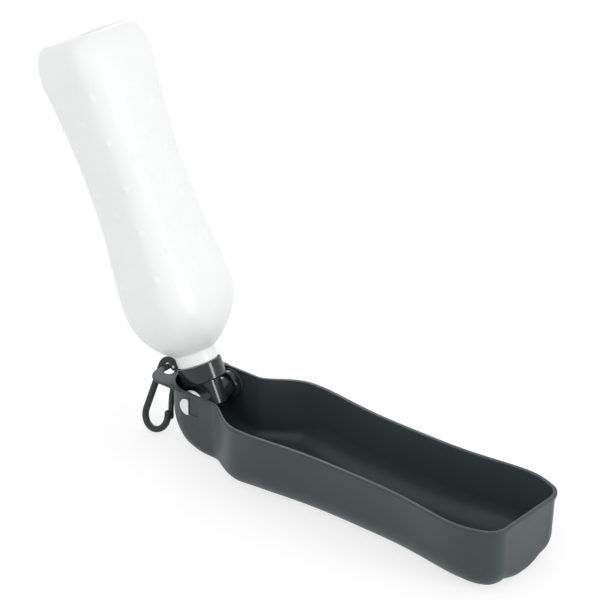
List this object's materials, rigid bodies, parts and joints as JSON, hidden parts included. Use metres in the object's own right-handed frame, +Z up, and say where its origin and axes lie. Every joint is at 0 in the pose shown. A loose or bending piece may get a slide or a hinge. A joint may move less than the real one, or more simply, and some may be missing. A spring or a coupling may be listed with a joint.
{
  "type": "dog travel water bottle",
  "caption": "Squeeze bottle on a keyed valve pivot that folds into its own waisted drinking trough, with a snap hook on the trough's flange.",
  "frame": {"origin": "on the trough's flat underside, straight below the bottle's pivot", "axes": "+X along the trough from the pivot to its wide end, +Z up out of the trough, +Y across it"},
  "size_m": [0.3643, 0.0772, 0.2563],
  "materials": {
    "trough": "matt slate grey",
    "bottle": "milky translucent",
    "cap": "gloss",
    "white_pin": "satin",
    "seal": "matt",
    "gasket": "matt",
    "hook": "satin",
    "steel": "bright"
  },
  "bodies": {
    "trough": {"bowl": "trough", "valve_spool": "white_pin", "far_collar": "cap", "valve_o_rings": "seal"},
    "swivel": {"valve_barrel": "cap", "spout_tube": "cap", "cap_gasket": "gasket"},
    "cap": {"screw_cap": "cap"},
    "bottle": {"bottle": "bottle"},
    "hook": {"hook_body": "hook", "gate_pin": "steel", "gate_spring": "steel"},
    "gate": {"hook_gate": "hook"}
  },
  "joints": [
    {"name": "bottle_fold", "type": "hinge", "parent": "trough", "child": "swivel", "pos_m": [0, 0, 0.0314], "axis": [0, 1, 0], "range_deg": [0, 113]},
    {"name": "cap_turn", "type": "hinge", "parent": "swivel", "child": "cap", "pos_m": [0, 0, 0.0314], "axis": [0.4228, 0, -0.9062], "range_deg": [0, 360]},
    {"name": "bottle_release", "type": "slide", "parent": "swivel", "child": "bottle", "axis": [-0.4228, 0, 0.9062], "range_m": [0, 0.003]},
    {"name": "hook_swing", "type": "hinge", "parent": "trough", "child": "hook", "pos_m": [-0.0322, -0.0017, 0.03943], "axis": [0, 0.9338, -0.3579], "range_deg": [-4, 80]},
    {"name": "gate_press", "type": "hinge", "parent": "hook", "child": "gate", "pos_m": [-0.02712, -0.00085, 0.04164], "axis": [0, 0.9338, -0.3579], "range_deg": [0, 14], "stiffness_Nm_per_rad": 0.05}
  ],
  "couplings": [
    {"joint": "cap_turn", "follows": "bottle_release", "rad_per_m": 2094.4}
  ]
}
